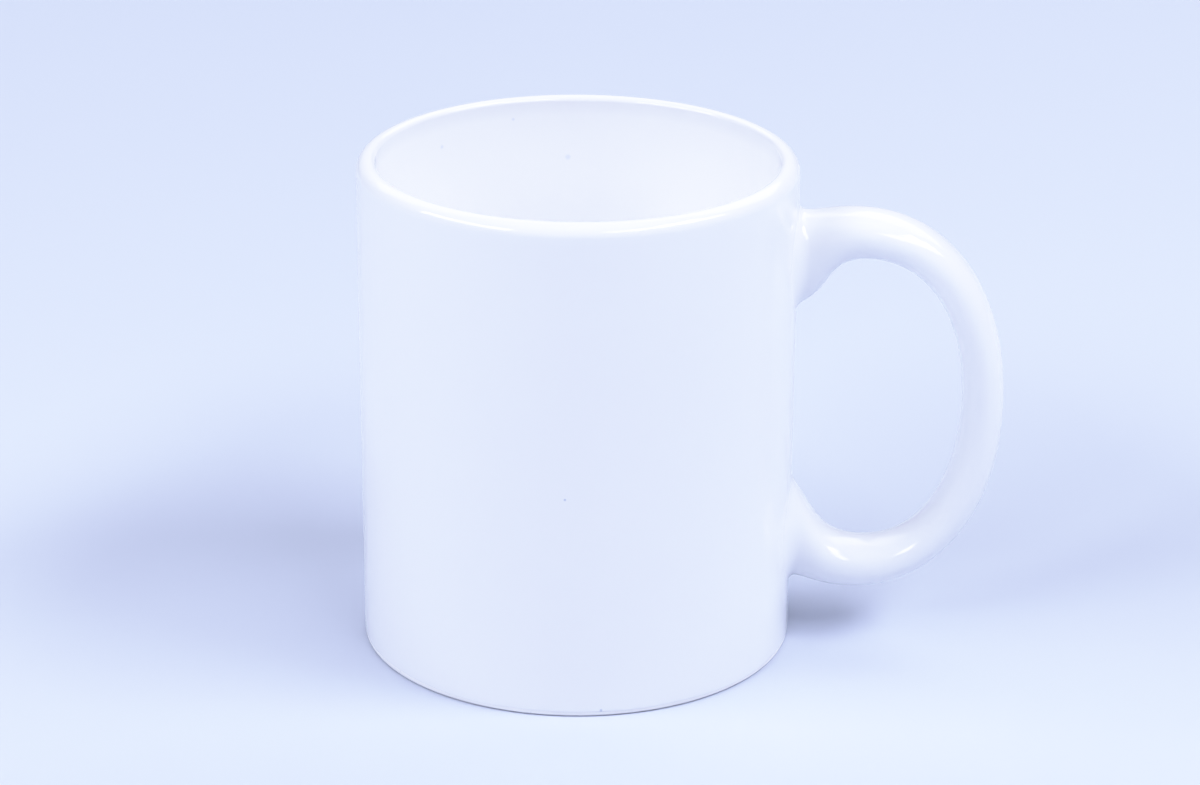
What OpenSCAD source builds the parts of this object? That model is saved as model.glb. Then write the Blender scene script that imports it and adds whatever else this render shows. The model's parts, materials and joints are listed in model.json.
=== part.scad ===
// Plain white glazed mug: a straight cast cup with one strap handle.
// Millimetres. +Z is up, +X points from the cup out to the handle.
// The origin is the centre of the foot, on the table.

/* [Cup] */
// Outside diameter of the glazed cup
cup_diameter = 82; // [76:0.5:90]
// Height from the table to the top of the lip
cup_height = 95; // [93:0.5:110]
// Thickness of the wall, both glazes included
wall = 3.5; // [3.4:0.1:5]
// Thickness of the floor, from the recess under it to the inside
floor_thickness = 5; // [3:0.1:7]
// Radius between the inside wall and the floor
inside_corner = 10; // [4:0.5:14]
// Radius of the outer edge of the lip
lip_outer_round = 2.4; // [1.4:0.1:2.5]
// Radius of the inner edge of the lip
lip_inner_round = 1; // [0.8:0.1:1.1]
// Thickness of the glaze
glaze = 0.4; // [0.2:0.05:0.5]

/* [Foot] */
// Width of the flat ring that the cup stands on
foot_ring_width = 3.6; // [2.5:0.1:6]
// Radius of the outer edge of the foot
foot_round = 0.5; // [0.3:0.1:0.8]
// Depth of the recess under the floor
recess_depth = 1.8; // [1:0.1:3]
// Slope of the inside of the foot ring, measured across
recess_slope = 1.6; // [0.5:0.1:3]
// Height of the bare band below the outside glaze
bare_band = 1; // [0.6:0.1:2]
// Gap between the base glaze and the foot ring's slope
base_glaze_gap = 0.6; // [0.3:0.1:2]

/* [Handle] */
// Distance from the cup's wall to the outside of the grip
handle_reach = 39.4; // [34:0.1:46]
// Height of the middle of the grip
grip_height = 48; // [45:0.1:51]
// Thickness of the strap at the middle of the grip
grip_thickness = 7.8; // [6:0.1:10]
// Height of the top of the upper arm
upper_arm_top = 85.6; // [83:0.1:87]
// Thickness of the upper arm
upper_arm_thickness = 8.9; // [7:0.1:10]
// Height of the bottom of the lower arm
lower_arm_bottom = 10.4; // [9:0.1:13]
// Thickness of the lower arm
lower_arm_thickness = 9; // [7:0.1:10]
// Width of the strap, across the handle
strap_width = 13.2; // [11:0.1:16]
// Width of the strap where it meets the wall
root_width = 14.6; // [13:0.1:18]
// How deep the strap is where the upper root meets the wall
upper_root_depth = 17.9; // [15:0.1:20]
// How deep the strap is where the lower root meets the wall
lower_root_depth = 19.3; // [16:0.1:21]
// How far the roots reach out before the arms begin
root_reach = 13; // [11:0.1:15]
// Size of the fillet on each side of a root
side_fillet = 2.6; // [1.5:0.1:3]
// Size of the fillet above and below a root
edge_fillet = 1; // [0.6:0.1:1.4]
// Thickness of the slip that sticks the handle on
slip_thickness = 0.5; // [0.3:0.1:1]

/* [Hidden] */

$fn = 96;
clearance = 1;                             // how far a cutting shape runs past what it cuts
cup_r = cup_diameter / 2;                  // outside of the glaze
clay_r = cup_r - glaze;                    // outside of the clay
mouth_r = cup_r - wall;                    // inside of the glaze
crown_r = cup_r - lip_outer_round;         // top of the lip, where the two glazes meet
floor_z = recess_depth + floor_thickness;  // inside floor
recess_r = clay_r - foot_round - foot_ring_width;
base_glaze_r = recess_r - recess_slope - base_glaze_gap;

// Handle stations
SEGMENT_STEPS = 12;                        // rings along each piece of the outlines
RING_POINTS = 24;                          // points round each ring
stub_steps = 4;                            // rings of a root that the wall glaze is cut with
embed = 5;                                 // how far the sweep runs on into the wall
proud = 0.05;                              // how far its end rings stand out of the wall
arm_x = cup_r + root_reach;                // where the roots end and the arms begin
grip_x = cup_r + handle_reach;             // outside of the grip
upper_arm_rise = 0.4;                      // how far the upper arm rises on its way out
lower_arm_drop = 1.7;                      // how far the lower arm drops on its way out
upper_root_top = upper_arm_top - upper_arm_rise;
lower_root_bottom = lower_arm_bottom + lower_arm_drop;
fillet_spread = 0.6;                       // how far a fillet spreads, as a share of its size
flush = 8;                                 // distance over which a ring takes the wall's curve

// ---- Outlines of the handle in the XZ plane ----

// Each knot is [point, direction of travel, tangent length behind, tangent length ahead],
// from the upper root round the grip to the lower root.
outer_knots = [
    [[cup_r, upper_root_top], -7, 0, 4.3],
    [[arm_x, upper_arm_top], -4.6, 7, 16],
    [[grip_x, grip_height], -90, 22, 22],
    [[arm_x, lower_arm_bottom], 183.4, 15, 7],
    [[cup_r, lower_root_bottom], 183.4, 3.1, 0]];

inner_knots = [
    [[cup_r, upper_root_top - upper_root_depth], 23, 0, 7.3],
    [[arm_x, upper_arm_top - upper_arm_thickness], -1, 8, 11.6],
    [[grip_x - grip_thickness, grip_height], -90, 16, 16],
    [[arm_x, lower_arm_bottom + lower_arm_thickness], 177, 12, 8],
    [[cup_r, lower_root_bottom + lower_root_depth], 126, 8, 0]];

last_station = (len(outer_knots) - 1) * SEGMENT_STEPS;

function heading(angle, length) = length * [cos(angle), sin(angle)];

function bezier(a, b, c, d, t) =
    pow(1 - t, 3) * a + 3 * pow(1 - t, 2) * t * b + 3 * (1 - t) * t * t * c + t * t * t * d;

// The point of an outline at station i, counted from the upper root.
function on_outline(knots, i) =
    let (k = min(len(knots) - 2, floor(i / SEGMENT_STEPS)),
         t = i / SEGMENT_STEPS - k,
         from = knots[k],
         to = knots[k + 1])
    bezier(from[0], from[0] + heading(from[1], from[3]),
           to[0] - heading(to[1], to[2]), to[0], t);

// ---- Rings of the handle ----

// Half of the strap's width at distance x from the axis, growing towards the wall.
function half_width(x) =
    (strap_width + (root_width - strap_width) * pow(max(0, 1 - (x - cup_r) / root_reach), 2)) / 2;

// Extra size of a ring close to the wall, at distance x from the axis and angle a round it.
function flare(x, a) =
    let (size = edge_fillet + (side_fillet - edge_fillet) * abs(sin(a)))
    fillet_spread * size * pow(max(0, 1 - (x - cup_r) / size), 2);

// How far a point at width y is drawn back, so that a ring near the wall lies on it.
function draw_back(x, y) =
    (sqrt(cup_r * cup_r - y * y) - cup_r) * pow(max(0, 1 - (x - cup_r) / flush), 2);

// The ring at station i, made smaller by inset all round and moved by shift along X.
function ring(i, inset, shift) =
    let (outer = on_outline(outer_knots, i),
         inner = on_outline(inner_knots, i),
         centre = (outer + inner) / 2,
         half = (outer - inner) / 2,
         out = half / norm(half),
         wide = half_width(centre[0]))
    [for (k = [0:RING_POINTS - 1])
        let (a = 360 * k / RING_POINTS,
             plain = centre + half * cos(a),
             grow = flare(plain[0], a) - inset,
             p = plain + out * grow * cos(a),
             y = (wide + grow) * sin(a))
        [p[0] + draw_back(plain[0], y) + shift, y, p[1]]];

// Stations first to last. An end ring stands just out of the wall, and a copy is pushed into it.
function at_wall(i) = i == 0 || i == last_station;
function rings(first, last, inset) = concat(
    at_wall(first) ? [ring(first, inset, -embed)] : [],
    [for (i = [first:last]) ring(i, inset, at_wall(i) ? proud : 0)],
    at_wall(last) ? [ring(last, inset, -embed)] : []);

// Points of a list of rings, and the faces between ring j and ring j + 1.
function flat(list) = [for (part = list) for (item = part) item];
function wrap(k) = k % RING_POINTS;
function skin(j, offset, outward) =
    [for (k = [0:RING_POINTS - 1])
        let (a = offset + j * RING_POINTS + k,
             b = offset + j * RING_POINTS + wrap(k + 1),
             c = b + RING_POINTS,
             d = a + RING_POINTS)
        each outward ? [[a, b, c], [a, c, d]] : [[a, c, b], [a, d, c]]];

// A solid strap from station first to station last.
module strap(first, last, inset) {
    loops = rings(first, last, inset);
    count = len(loops);
    start_cap = [for (k = [RING_POINTS - 1:-1:0]) k];
    end_cap = [for (k = [0:RING_POINTS - 1]) (count - 1) * RING_POINTS + k];
    polyhedron(
        points = flat(loops),
        faces = concat([start_cap], flat([for (j = [0:count - 2]) skin(j, 0, true)]), [end_cap]));
}

// A layer of the glaze's thickness over the whole strap, open through both ends.
module strap_skin() {
    outside = rings(0, last_station, 0);
    inside = rings(0, last_station, glaze);
    count = len(outside);
    shift = count * RING_POINTS;
    end = (count - 1) * RING_POINTS;
    start_rim = [for (k = [0:RING_POINTS - 1])
        each [[k, shift + wrap(k + 1), wrap(k + 1)], [k, shift + k, shift + wrap(k + 1)]]];
    end_rim = [for (k = [0:RING_POINTS - 1])
        each [[end + k, end + wrap(k + 1), end + shift + wrap(k + 1)],
              [end + k, end + shift + wrap(k + 1), end + shift + k]]];
    polyhedron(
        points = concat(flat(outside), flat(inside)),
        faces = concat(
            flat([for (j = [0:count - 2]) skin(j, 0, true)]),
            flat([for (j = [0:count - 2]) skin(j, shift, false)]),
            start_rim, end_rim));
}

// ---- Profiles of the cup, drawn at x >= 0 and turned about Z ----

// What a rounded corner takes away. The corner is at [x, z]; across and up point into it.
module corner_waste(x, z, r, across, up) {
    translate([x, z])
        difference() {
            translate([across > 0 ? -clearance : -r, up > 0 ? -clearance : -r])
                square(r + clearance);
            translate([across * r, up * r]) circle(r);
        }
}

// Everything inside the cup's outer surface, made smaller by inset.
module outer_profile(inset, bottom) {
    difference() {
        translate([0, bottom]) square([cup_r - inset, cup_height - inset - bottom]);
        corner_waste(cup_r - inset, cup_height - inset, lip_outer_round - inset, -1, -1);
    }
}

// The hollow of the cup, made larger by grow.
module hollow_profile(grow) {
    r = mouth_r + grow;
    low = floor_z - grow;
    corner = inside_corner + grow;
    lip_r = lip_inner_round - grow;
    top = cup_height - grow;
    difference() {
        translate([0, low]) square([r, cup_height + clearance - low]);
        translate([r, low])
            difference() {
                translate([-corner, -clearance]) square(corner + clearance);
                translate([-corner, corner]) circle(corner);
            }
    }
    difference() {
        translate([r - clearance, top - lip_r]) square([lip_r + clearance, lip_r + clearance]);
        translate([r + lip_r, top - lip_r]) circle(lip_r);
        translate([r + lip_r, top]) square(2 * clearance);
    }
}

// The recess under the floor, inside the foot ring.
module recess_profile() {
    depth = recess_depth + glaze;
    polygon([[0, -clearance], [recess_r, -clearance], [recess_r, 0],
             [recess_r - recess_slope, depth], [0, depth]]);
}

module clay_profile() {
    difference() {
        outer_profile(glaze, 0);
        corner_waste(clay_r, 0, foot_round, -1, 1);
        hollow_profile(glaze);
        recess_profile();
    }
}

// The glaze of the inside and of the wall, down to height bottom, not yet parted at the lip.
module glaze_profile(bottom) {
    difference() {
        outer_profile(0, bottom);
        hollow_profile(0);
        clay_profile();
    }
}

// ---- Sub-parts ----

module cup_body() {
    color("#f1efe9")
        rotate_extrude() clay_profile();
}

module inside_glaze() {
    color("#fbfcff")
        rotate_extrude()
            intersection() {
                glaze_profile(floor_z - glaze);
                square([crown_r, cup_height]);
            }
}

module outside_glaze() {
    color("#fafbff")
        difference() {
            rotate_extrude()
                intersection() {
                    glaze_profile(bare_band);
                    translate([crown_r, 0]) square([cup_r, cup_height]);
                }
            strap(0, stub_steps, 0);
            strap(last_station - stub_steps, last_station, 0);
        }
}

module base_glaze() {
    color("#f8f9fd")
        rotate_extrude() {
            translate([0, recess_depth]) square([base_glaze_r - glaze, glaze]);
            intersection() {
                translate([base_glaze_r - glaze, recess_depth + glaze]) circle(glaze);
                translate([base_glaze_r - glaze, recess_depth]) square(glaze);
            }
        }
}

module handle() {
    color("#efede7")
        difference() {
            strap(0, last_station, glaze);
            cylinder(r = clay_r + slip_thickness, h = cup_height);
        }
}

module slip_joint(first, last) {
    color("#e6e2d8")
        difference() {
            intersection() {
                strap(first, last, glaze);
                cylinder(r = clay_r + slip_thickness, h = cup_height);
            }
            translate([0, 0, -clearance]) cylinder(r = clay_r, h = cup_height + 2 * clearance);
        }
}

module upper_slip_joint() {
    slip_joint(0, stub_steps);
}

module lower_slip_joint() {
    slip_joint(last_station - stub_steps, last_station);
}

module handle_glaze() {
    color("#fafbff")
        difference() {
            strap_skin();
            cylinder(r = clay_r, h = cup_height);
        }
}

cup_body();
handle();
upper_slip_joint();
lower_slip_joint();
inside_glaze();
outside_glaze();
handle_glaze();
base_glaze();
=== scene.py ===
import json
import math

import bmesh
import bpy
from mathutils import Matrix, Vector


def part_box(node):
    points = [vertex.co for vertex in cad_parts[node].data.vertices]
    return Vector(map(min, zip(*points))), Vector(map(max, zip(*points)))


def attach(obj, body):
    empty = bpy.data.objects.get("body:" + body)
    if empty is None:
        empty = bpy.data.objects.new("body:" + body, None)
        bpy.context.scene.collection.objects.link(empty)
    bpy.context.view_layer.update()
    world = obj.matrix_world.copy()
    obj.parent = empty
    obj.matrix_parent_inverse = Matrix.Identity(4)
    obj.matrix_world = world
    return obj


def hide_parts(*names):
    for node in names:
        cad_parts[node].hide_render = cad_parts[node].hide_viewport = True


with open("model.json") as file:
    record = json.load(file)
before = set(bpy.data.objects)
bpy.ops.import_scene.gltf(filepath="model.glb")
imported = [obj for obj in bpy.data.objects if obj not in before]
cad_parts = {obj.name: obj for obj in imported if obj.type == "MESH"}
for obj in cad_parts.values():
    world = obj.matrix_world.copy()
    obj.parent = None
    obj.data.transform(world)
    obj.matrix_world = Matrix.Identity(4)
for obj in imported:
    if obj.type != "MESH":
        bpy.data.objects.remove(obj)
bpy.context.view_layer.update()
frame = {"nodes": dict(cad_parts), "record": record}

# Plain white glazed mug on pale blue paper. Lengths are in millimetres up to the point
# where a mesh, light or camera is made, and MM turns them into metres.
# +Z is up, +X points from the cup to the handle, and the origin is under the cup.
MM = 0.001


# ---- Sizes: from the frame where it states them, else as in the part's own source ----

def frame_size(node, corner, axis):
    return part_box(node)[corner][axis] / MM


mouth = next(m for m in frame["record"]["mounts"] if m["name"] == "mouth")
CUP_R = frame_size("outside_glaze", 1, 1)
CLAY_R = frame_size("cup_body", 1, 1)
CUP_H = frame_size("inside_glaze", 1, 2)
MOUTH_R = mouth["dims"]["r_mm"]
GLAZE = CUP_R - CLAY_R
LIP_INNER = CUP_H - mouth["pos_m"][2] / MM
LIP_OUTER = CUP_R - frame_size("inside_glaze", 1, 1)
BAND_H = frame_size("outside_glaze", 0, 2)
CLAY_FLOOR = frame_size("inside_glaze", 0, 2)
RECESS_H = frame_size("base_glaze", 0, 2)
ISLAND_R = frame_size("base_glaze", 1, 1)
GRIP_X = frame_size("handle_glaze", 1, 0)
INSIDE_CORNER = 10
FOOT_ROUND = 0.5
FOOT_WIDTH = 3.6
RECESS_SLOPE = 1.6

CROWN_R = CUP_R - LIP_OUTER
FLOOR_Z = CLAY_FLOOR + GLAZE
RECESS_R = CLAY_R - FOOT_ROUND - FOOT_WIDTH

# Handle
STRAP_W = 13.2
ROOT_W = 14.6
ROOT_REACH = 13
ARM_X = CUP_R + ROOT_REACH
SIDE_FILLET = 2.6
EDGE_FILLET = 1.0
FILLET_FALLOFF = 1.5    # how fast a fillet shrinks from the sides of the strap to its edges
FLUSH = 8               # distance over which a ring takes the wall's curve
SQUARENESS = 2.25       # of the strap's section: 2 is an ellipse, more is squarer

# Colours and strengths of the stage
PAPER = (0.665, 0.70, 0.78)
SOFTBOX = (0.75, 0.79, 1.0)
SOFTBOX_DISTANCE = 2000
ROOM_LIGHT = 0.02
ROOM_MIRRORED = 0.8


# ---- Meshes ----

def new_object(name, verts, faces, sharp=35):
    """A smooth-shaded object from points in millimetres, with its harder corners kept."""
    mesh = bpy.data.meshes.new(name)
    mesh.from_pydata([Vector(v) * MM for v in verts], [], faces)
    bm = bmesh.new()
    bm.from_mesh(mesh)
    bmesh.ops.recalc_face_normals(bm, faces=bm.faces)
    bm.to_mesh(mesh)
    bm.free()
    mesh.shade_smooth()
    mesh.set_sharp_from_angle(angle=math.radians(sharp))
    obj = bpy.data.objects.new(name, mesh)
    bpy.context.collection.objects.link(obj)
    return obj


def arc(r, z, radius, start, end, steps):
    """Points (r, z) of a circular arc, from one angle to another, both in degrees."""
    angles = [math.radians(start + (end - start) * i / steps) for i in range(steps + 1)]
    return [(r + radius * math.cos(a), z + radius * math.sin(a)) for a in angles]


def run(a, b, steps):
    """Points (r, z) on a straight line, without its last one."""
    return [(a[0] + (b[0] - a[0]) * i / steps, a[1] + (b[1] - a[1]) * i / steps)
            for i in range(steps)]


def revolve(name, profile, moved=None, segments=360):
    """Turns a profile about Z. A profile that starts and ends on the axis closes there, and any
    other joins its last point to its first. moved(r, z, angle) shifts a point before it is used."""
    on_axis = profile[0][0] == 0
    verts, rows = [], []
    for r, z in profile:
        if r == 0:
            rows.append([len(verts)] * segments)
            verts.append((0, 0, z))
            continue
        rows.append(list(range(len(verts), len(verts) + segments)))
        for s in range(segments):
            a = 2 * math.pi * s / segments
            rr, zz = moved(r, z, a) if moved else (r, z)
            verts.append((rr * math.cos(a), rr * math.sin(a), zz))
    faces = []
    pairs = list(zip(rows, rows[1:])) + ([] if on_axis else [(rows[-1], rows[0])])
    for low, high in pairs:
        for s in range(segments):
            t = (s + 1) % segments
            corners = [low[s], low[t], high[t], high[s]]
            faces.append(list(dict.fromkeys(corners)))
    return new_object(name, verts, faces)


def wobble(angle, waves):
    """A slow, uneven wave round the cup: waves lists (count, height, phase)."""
    return sum(h * math.sin(n * angle + p) for n, h, p in waves)


# ---- Cup ----

FOOT_SWELL = 0.28       # how far the clay comes out at the foot
SWELL_H = 5
SWELL_STEPS = 12
BAND_MIDDLE = 0.75      # a ring of points in the bare band, as a share of its height


def clay_wall():
    """The clay's outer wall from the foot up. Just above the foot it comes out almost as far as
    the glaze does, because the glaze runs thin there."""
    def swell(z):
        near = max(0.0, min(1.0, 1 - (z - BAND_H) / SWELL_H))
        return CLAY_R + FOOT_SWELL * near * near * (3 - 2 * near)

    low = [(swell(z), z) for z in (BAND_H * BAND_MIDDLE, BAND_H)]
    heights = [BAND_H + SWELL_H * i / SWELL_STEPS for i in range(1, SWELL_STEPS)]
    rise = [(swell(z), z) for z in heights]
    top = run((CLAY_R, BAND_H + SWELL_H), (CLAY_R, CUP_H - LIP_OUTER), 12)
    return low + rise + top


def clay_cup():
    recess_z = RECESS_H + GLAZE
    edge = 0.35
    profile = [(0, recess_z)]
    profile += run((1, recess_z), (RECESS_R - RECESS_SLOPE - edge, recess_z), 8)
    profile += [(RECESS_R - RECESS_SLOPE - edge, recess_z),
                (RECESS_R - RECESS_SLOPE, recess_z - edge)]
    profile += arc(RECESS_R + edge, edge, edge, 180, 270, 6)
    profile += arc(CLAY_R + FOOT_SWELL - FOOT_ROUND, FOOT_ROUND, FOOT_ROUND, -90, 0, 10)
    profile += clay_wall()
    profile += arc(CROWN_R, CUP_H - LIP_OUTER, LIP_OUTER - GLAZE, 0, 90, 12)
    profile += arc(MOUTH_R + LIP_INNER, CUP_H - LIP_INNER, LIP_INNER - GLAZE, 90, 180, 10)
    profile += inside_wall(GLAZE)
    return revolve("clay_cup", profile)


def inside_wall(grow):
    """The hollow's profile from under the lip down to the axis, made larger by grow."""
    r = MOUTH_R + grow
    low = FLOOR_Z - grow
    corner = INSIDE_CORNER + grow
    points = run((r, CUP_H - LIP_INNER - 1), (r, low + corner), 14)
    points += arc(r - corner, low + corner, corner, 0, -90, 24)
    points += run((r - corner - 1, low), (0, low), 8)
    return points + [(0, low)]


def glaze_in():
    profile = list(reversed(inside_wall(0)))
    profile += arc(MOUTH_R + LIP_INNER, CUP_H - LIP_INNER, LIP_INNER, 180, 90, 14)
    profile += [(CROWN_R, CUP_H), (CROWN_R, CUP_H - GLAZE)]
    profile += arc(MOUTH_R + LIP_INNER, CUP_H - LIP_INNER, LIP_INNER - GLAZE, 90, 180, 10)
    profile += inside_wall(GLAZE)
    return revolve("glaze_inside", profile)


# Waves of the lower edge of the wall's glaze, as wobble takes them
EDGE_WAVES = [(2, 0.10, 0.4), (5, 0.07, 1.9), (9, 0.05, 4.1), (17, 0.035, 0.7), (31, 0.02, 2.6)]


def glaze_out():
    """The wall's glaze. It runs thin towards its lower edge, whose line is uneven. It runs on
    behind the two handle roots, where the part's own glaze has openings."""
    bead = GLAZE - FOOT_SWELL
    soft = 3

    def follow_edge(r, z, angle):
        near = max(0.0, min(1.0, 1 - (z - BAND_H) / soft))
        return r, z + near * wobble(angle, EDGE_WAVES)

    profile = arc(CROWN_R, CUP_H - LIP_OUTER, LIP_OUTER, 90, 0, 18)
    profile += run((CUP_R, CUP_H - LIP_OUTER - 1), (CUP_R, BAND_H + soft), 16)
    profile += run((CUP_R, BAND_H + soft), (CUP_R, BAND_H + bead), 6)
    profile += arc(CUP_R - bead, BAND_H + bead, bead, 0, -90, 8)
    profile += clay_wall()[2:]
    profile += arc(CROWN_R, CUP_H - LIP_OUTER, LIP_OUTER - GLAZE, 0, 90, 12)
    return revolve("glaze_outside", profile, follow_edge)


def glaze_island():
    """The glaze in the recess, with a rounded and uneven rim."""
    top = RECESS_H + GLAZE
    rim_waves = [(3, 0.12, 1.1), (7, 0.08, 3.0), (13, 0.05, 5.2)]
    rim_from = 0.8

    def follow_rim(r, z, angle):
        near = max(0.0, r / ISLAND_R - rim_from) / (1 - rim_from)
        return r - near * abs(wobble(angle, rim_waves)), z

    profile = [(0, RECESS_H)] + run((1, RECESS_H), (ISLAND_R - GLAZE, RECESS_H), 16)
    profile += arc(ISLAND_R - GLAZE, top, GLAZE, -90, 0, 8)
    profile += run((ISLAND_R - 1, top), (0, top), 8) + [(0, top)]
    return revolve("glaze_base", profile, follow_rim)


# ---- Handle: rings between an outer and an inner outline, each four Bezier pieces ----

# Each knot is the point (x, z), the direction of travel in degrees, and the tangent lengths
# behind and ahead, from the upper root round the grip to the lower root.
OUTER = [
    ((CUP_R, 85.2), -7, 0, 4.3),
    ((ARM_X, 85.6), -4.6, 7, 16),
    ((GRIP_X, 47.7), -90, 22, 22),
    ((ARM_X, 10.4), 183.4, 15, 7),
    ((CUP_R, 12.1), 183.4, 3.1, 0),
]
INNER = [
    ((CUP_R, 67.3), 23, 0, 7.3),
    ((ARM_X, 76.7), -0.6, 8, 11.6),
    ((GRIP_X - 7.8, 48.2), -90, 16, 16),
    ((ARM_X, 19.4), 176.6, 12, 8),
    ((CUP_R, 31.4), 126, 8, 0),
]


def heading(degrees, length):
    a = math.radians(degrees)
    return Vector((math.cos(a), math.sin(a))) * length


def on_outline(knots, s):
    """The point at s, from 0 at the upper root to 4 at the lower one."""
    k = min(3, int(s))
    t = s - k
    (start, start_way, _, ahead), (end, end_way, behind, _) = knots[k], knots[k + 1]
    a, d = Vector(start), Vector(end)
    b = a + heading(start_way, ahead)
    c = d - heading(end_way, behind)
    return (1 - t) ** 3 * a + 3 * (1 - t) ** 2 * t * b + 3 * (1 - t) * t * t * c + t ** 3 * d


def stations():
    """Values of s: close together in the fillet at each root, even along the rest."""
    fillet_end = 0.3
    fillet_steps = 14
    per_piece = 26
    root = [fillet_end * (1 - math.cos(math.pi / 2 * i / fillet_steps))
            for i in range(fillet_steps)]
    middle_steps = int((4 - 2 * fillet_end) * per_piece)
    step = (4 - 2 * fillet_end) / middle_steps
    middle = [fillet_end + step * i for i in range(middle_steps + 1)]
    return root + middle + [4 - s for s in reversed(root)]


def wall_x(y):
    return math.sqrt(CUP_R ** 2 - y ** 2)


def skirt(from_wall, size):
    """How far a fillet of this size spreads at a distance from the wall. It lands flat on it."""
    u = max(0.0, min(1.0, 1 - from_wall / size))
    return size * (1 - math.sqrt(max(0.0, 1 - u * u)))


def fuller(value):
    """A sine or cosine drawn towards 1, which makes an ellipse a little squarer."""
    return math.copysign(abs(value) ** (2 / SQUARENESS), value)


def ring(s, inset, points):
    """The ring at s, made smaller by inset all round."""
    outer, inner = on_outline(OUTER, s), on_outline(INNER, s)
    centre, half = (outer + inner) / 2, (outer - inner) / 2
    out = half.normalized()
    from_root = max(0.0, 1 - (centre.x - CUP_R) / ROOT_REACH)
    half_w = (STRAP_W + (ROOT_W - STRAP_W) * from_root ** 2) / 2
    ring_points = []
    for i in range(points):
        a = 2 * math.pi * i / points
        along, across = fuller(math.cos(a)), fuller(math.sin(a))
        plain = centre + half * along
        side = abs(math.sin(a)) ** FILLET_FALLOFF
        size = EDGE_FILLET + (SIDE_FILLET - EDGE_FILLET) * side
        grow = skirt(plain.x - CUP_R, size) - inset
        p = plain + out * grow * along
        y = (half_w + grow) * across
        near = max(0.0, 1 - (plain.x - CUP_R) / FLUSH)
        x = p.x + (wall_x(y) - CUP_R) * near ** 2
        ring_points.append((x, y, p.y))
    return ring_points


def glaze_handle():
    """The handle's glaze as a closed skin that ends just inside the wall's surface."""
    points = 72
    sink = 0.25

    def sunk(loop):
        return [(x - sink, y, z) for x, y, z in loop]

    outside = [ring(s, 0, points) for s in stations()]
    inside = [ring(s, GLAZE, points) for s in stations()]
    loops = [sunk(outside[0])] + outside + [sunk(outside[-1])]
    loops += [sunk(inside[-1])] + inside[::-1] + [sunk(inside[0])]
    verts = [v for loop in loops for v in loop]
    faces = []
    count = len(loops)
    for j in range(count):
        k = (j + 1) % count
        for i in range(points):
            n = (i + 1) % points
            faces.append((j * points + i, j * points + n, k * points + n, k * points + i))
    return new_object("glaze_handle", verts, faces)


# ---- Materials ----

def material(name):
    mat = bpy.data.materials.new(name)
    mat.use_nodes = True
    nodes = mat.node_tree.nodes
    return mat, nodes, mat.node_tree.links, nodes["Principled BSDF"]


def noise(nodes, links, coords, scale, detail=2.0, roughness=0.5):
    node = nodes.new("ShaderNodeTexNoise")
    node.inputs["Scale"].default_value = scale
    node.inputs["Detail"].default_value = detail
    node.inputs["Roughness"].default_value = roughness
    links.new(coords, node.inputs["Vector"])
    return node.outputs["Fac"]


def spread(nodes, links, value, low, high, start=0.3, end=0.7):
    """Maps value from start..end to low..high."""
    node = nodes.new("ShaderNodeMapRange")
    for key, number in (("From Min", start), ("From Max", end), ("To Min", low), ("To Max", high)):
        node.inputs[key].default_value = number
    links.new(value, node.inputs["Value"])
    return node.outputs["Result"]


def mix(nodes, links, fac, a, b):
    """Mixes two colours. Each of a and b may be a colour or an output."""
    node = nodes.new("ShaderNodeMix")
    node.data_type = "RGBA"
    links.new(fac, node.inputs["Factor"])
    for key, colour in ((6, a), (7, b)):
        if isinstance(colour, tuple):
            node.inputs[key].default_value = (*colour, 1)
        else:
            links.new(colour, node.inputs[key])
    return node.outputs[2]


def bump(nodes, links, height, distance, strength, under=None):
    node = nodes.new("ShaderNodeBump")
    node.inputs["Distance"].default_value = distance * MM
    node.inputs["Strength"].default_value = strength
    links.new(height, node.inputs["Height"])
    if under:
        links.new(under, node.inputs["Normal"])
    return node.outputs["Normal"]


def specks(nodes, links, coords, colour, marks):
    """Pinholes in the glaze: each mark is (x, y, z, radius, tint), in millimetres."""
    core = 0.4
    for x, y, z, radius, tint in marks:
        far = nodes.new("ShaderNodeVectorMath")
        far.operation = "DISTANCE"
        far.inputs[1].default_value = (x * MM, y * MM, z * MM)
        links.new(coords, far.inputs[0])
        near = spread(nodes, links, far.outputs["Value"], 1, 0,
                      core * radius * MM, radius * MM)
        colour = mix(nodes, links, near, colour, tint)
    return colour


def glaze_material(name, marks=(), painted_light_below=None):
    """Clear gloss over white: slow changes of tint and gloss, and a faint orange peel. Below the
    height passed in, in millimetres, the white is painted purer: painted light that brightens the
    cup's hollow."""
    painted_light_fade = 3
    mat, nodes, links, shader = material(name)
    coords = nodes.new("ShaderNodeTexCoord").outputs["Object"]
    cloud = noise(nodes, links, coords, 28, 3)
    fine = noise(nodes, links, coords, 420, 2)
    colour = mix(nodes, links, cloud, (0.905, 0.910, 0.915), (0.925, 0.928, 0.931))
    # Painted light: below the given height the glaze is mixed towards a purer white, to brighten
    # the cup's hollow.
    if painted_light_below:
        height = nodes.new("ShaderNodeSeparateXYZ")
        links.new(coords, height.inputs[0])
        painted_light_mask = spread(nodes, links, height.outputs["Z"], 1, 0,
                      (painted_light_below - painted_light_fade) * MM, painted_light_below * MM)
        colour = mix(nodes, links, painted_light_mask, colour, (0.990, 0.994, 1.0))
    links.new(specks(nodes, links, coords, colour, marks), shader.inputs["Base Color"])
    links.new(spread(nodes, links, cloud, 0.06, 0.10), shader.inputs["Roughness"])
    slow = bump(nodes, links, noise(nodes, links, coords, 55, 1), 0.25, 0.25)
    links.new(bump(nodes, links, fine, 0.02, 0.35, slow), shader.inputs["Normal"])
    shader.inputs["IOR"].default_value = 1.5
    return mat


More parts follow.
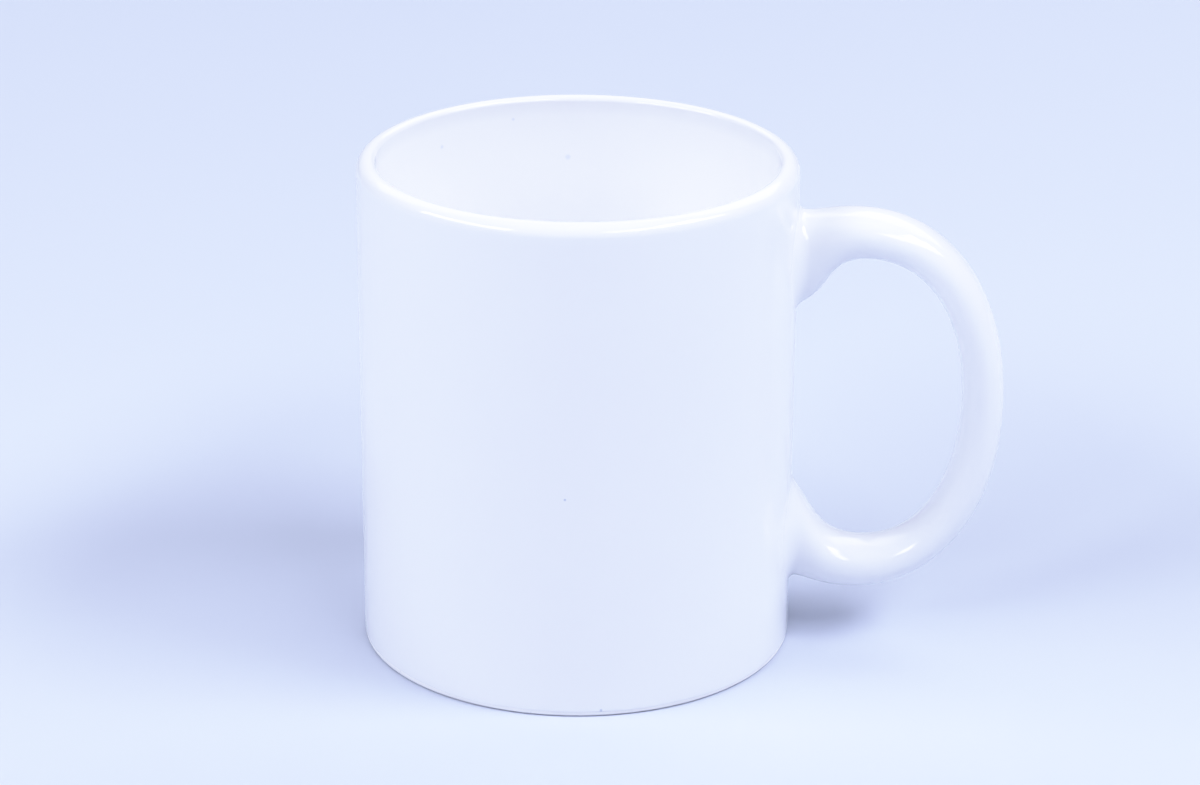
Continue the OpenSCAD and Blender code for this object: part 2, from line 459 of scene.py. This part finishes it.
def clay_material(name, light, dark):
    """Bare fired clay: matt, finely grained, with small pits, and painted shade, dark grey, at its
    edge on the table.
    """
    # Colour and heights of the painted shade at the foot's edge on the table
    painted_shade_grey = (0.16, 0.16, 0.17)
    painted_shade_from, painted_shade_to, painted_shade_share = 0.5, 0.15, 0.7
    mat, nodes, links, shader = material(name)
    coords = nodes.new("ShaderNodeTexCoord").outputs["Object"]
    grain = noise(nodes, links, coords, 1500, 4, 0.7)
    stain = noise(nodes, links, coords, 60, 3)
    colour = mix(nodes, links, spread(nodes, links, stain, 0, 1), light, dark)
    pits = spread(nodes, links, grain, 1, 0, 0.28, 0.36)
    colour = mix(nodes, links, pits, colour, tuple(0.8 * c for c in dark))
    height = nodes.new("ShaderNodeSeparateXYZ")
    links.new(coords, height.inputs[0])
    # Painted shade: the lowest half millimetre darkens towards the table, standing in for the shade
    # under the foot's rounded edge.
    painted_shade = spread(nodes, links, height.outputs["Z"], painted_shade_share, 0,
                    painted_shade_to * MM, painted_shade_from * MM)
    links.new(mix(nodes, links, painted_shade, colour, painted_shade_grey), shader.inputs["Base Color"])
    links.new(spread(nodes, links, grain, 0.75, 0.95), shader.inputs["Roughness"])
    links.new(bump(nodes, links, grain, 0.05, 0.4), shader.inputs["Normal"])
    return mat


def paper_material():
    """Smooth matt paper, pale blue, with a barely visible tooth."""
    mat, nodes, links, shader = material("pale_paper")
    coords = nodes.new("ShaderNodeTexCoord").outputs["Object"]
    tooth = noise(nodes, links, coords, 900, 3, 0.6)
    cloud = noise(nodes, links, coords, 5, 2)
    links.new(mix(nodes, links, cloud, PAPER, tuple(1.02 * c for c in PAPER)),
              shader.inputs["Base Color"])
    links.new(spread(nodes, links, tooth, 0.85, 0.95), shader.inputs["Roughness"])
    links.new(bump(nodes, links, tooth, 0.02, 0.15), shader.inputs["Normal"])
    shader.inputs["Specular IOR Level"].default_value = 0
    return mat


# ---- Stage: paper, light and camera ----

def stage_floor():
    size = 4000
    steps = 8
    verts = [((i / steps - 0.5) * size, (j / steps - 0.5) * size, 0)
             for j in range(steps + 1) for i in range(steps + 1)]
    faces = [(j * (steps + 1) + i, j * (steps + 1) + i + 1,
              (j + 1) * (steps + 1) + i + 1, (j + 1) * (steps + 1) + i)
             for j in range(steps) for i in range(steps)]
    floor = new_object("paper", verts, faces)
    floor.data.materials.append(paper_material())


def softbox(name, azimuth, elevation, width, height, power):
    """An area light that faces the mug. Azimuth 0 is -Y and grows towards +X."""
    a, e = math.radians(azimuth), math.radians(elevation)
    aim = Vector((0, 0, CUP_H / 2))
    away = Vector((math.sin(a) * math.cos(e), -math.cos(a) * math.cos(e), math.sin(e)))
    data = bpy.data.lights.new(name, "AREA")
    data.shape = "RECTANGLE"
    data.size, data.size_y = width * MM, height * MM
    data.energy = power
    data.color = SOFTBOX
    light = bpy.data.objects.new(name, data)
    light.location = (aim + away * SOFTBOX_DISTANCE) * MM
    light.rotation_euler = away.to_track_quat("Z", "Y").to_euler()
    bpy.context.collection.objects.link(light)


def studio_light():
    """Two wide, low softboxes in front, which draw the highlights, and weaker ones round them."""
    softbox("softbox_right", 58, 47, 2200, 500, 31)
    softbox("softbox_left", -62, 36, 1800, 500, 34)
    softbox("key_right", 76, 52, 700, 500, 12)
    softbox("softbox_top", 0, 80, 1500, 1500, 4)
    softbox("back_right", 150, 42, 1500, 1000, 12)
    softbox("back_left", -150, 42, 1500, 1000, 7)
    world = bpy.data.worlds.new("studio")
    world.use_nodes = True
    nodes, links = world.node_tree.nodes, world.node_tree.links
    room = nodes["Background"]
    room.inputs["Color"].default_value = (*SOFTBOX, 1)
    # The studio's white walls show in the glaze, but add little light.
    mirrored = nodes.new("ShaderNodeLightPath").outputs["Is Glossy Ray"]
    strength = spread(nodes, links, mirrored, ROOM_LIGHT, ROOM_MIRRORED, 0, 1)
    links.new(strength, room.inputs["Strength"])
    bpy.context.scene.world = world


def studio_camera():
    """A long lens, a little above the mug's rim and looking down on it."""
    distance, height = 605.89, 287.68
    side = math.radians(3.0)
    yaw, pitch, roll = 0.0071, 0.3768, 0.0066
    data = bpy.data.cameras.new("camera")
    data.sensor_fit = "HORIZONTAL"
    data.sensor_width = 36
    data.lens = 103.14
    data.clip_start = 0.01
    camera = bpy.data.objects.new("camera", data)
    place = Vector((math.sin(side) * distance, -math.cos(side) * distance, height)) * MM
    turn = (Matrix.Rotation(side - yaw, 4, "Z") @ Matrix.Rotation(math.pi / 2 - pitch, 4, "X")
            @ Matrix.Rotation(roll, 4, "Z"))
    camera.matrix_world = Matrix.Translation(place) @ turn
    bpy.context.collection.objects.link(camera)
    bpy.context.scene.camera = camera


def soft_highlights():
    """Plain tones up to a bright grey, then a shoulder that keeps detail in the whites."""
    brightest = 1.25
    shoulder = [(0.75, 0.75), (0.90, 0.875), (1.0, 0.93), (1.1, 0.97)]
    view = bpy.context.scene.view_settings
    view.view_transform = "Standard"
    view.use_curve_mapping = True
    mapping = view.curve_mapping
    mapping.white_level = (brightest,) * 3
    points = mapping.curves[3].points
    for x, y in shoulder:
        points.new(x / brightest, y)
    for i in (0, 1):
        points[i].handle_type = "VECTOR"
    mapping.update()


# ---- Build ----

def place(obj, mat, slot, *nodes):
    obj.data.materials.append(mat)
    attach(obj, "root")
    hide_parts(*nodes)


def build():
    faint, grey, rust = (0.87, 0.89, 0.95), (0.62, 0.65, 0.72), (0.78, 0.45, 0.42)
    white = glaze_material("white_glaze", [
        (0, -CUP_R, 43.4, 0.3, grey), (6.7, -40.4, 1.3, 0.35, grey)])
    # The inside glaze is painted whiter below the lip: painted light in the cup's hollow. Its
    # specks are real marks.
    white_inside_painted_light = glaze_material("white_glaze_inside", [
        (-4, 37.3, 82.7, 0.7, faint), (-27.6, 25.4, 88, 0.5, faint),
        (-14.5, 34.6, 91, 0.4, faint), (-32, -20.5, CUP_H, 0.5, rust)], painted_light_below=CUP_H - 1)
    clay = clay_material("bare_clay", (0.93, 0.925, 0.91), (0.89, 0.88, 0.86))
    slip = clay_material("fired_slip", (0.86, 0.84, 0.80), (0.79, 0.76, 0.72))
    place(clay_cup(), clay, "clay", "cup_body")
    place(glaze_in(), white_inside_painted_light, "glaze", "inside_glaze")
    place(glaze_out(), white, "glaze", "outside_glaze")
    place(glaze_handle(), white, "glaze", "handle_glaze")
    place(glaze_island(), white, "glaze", "base_glaze")
    for node, mat in (("handle", clay), ("upper_slip_joint", slip), ("lower_slip_joint", slip)):
        for material_slot in frame["nodes"][node].material_slots:
            material_slot.material = mat


build()
stage_floor()
studio_light()
studio_camera()
soft_highlights()
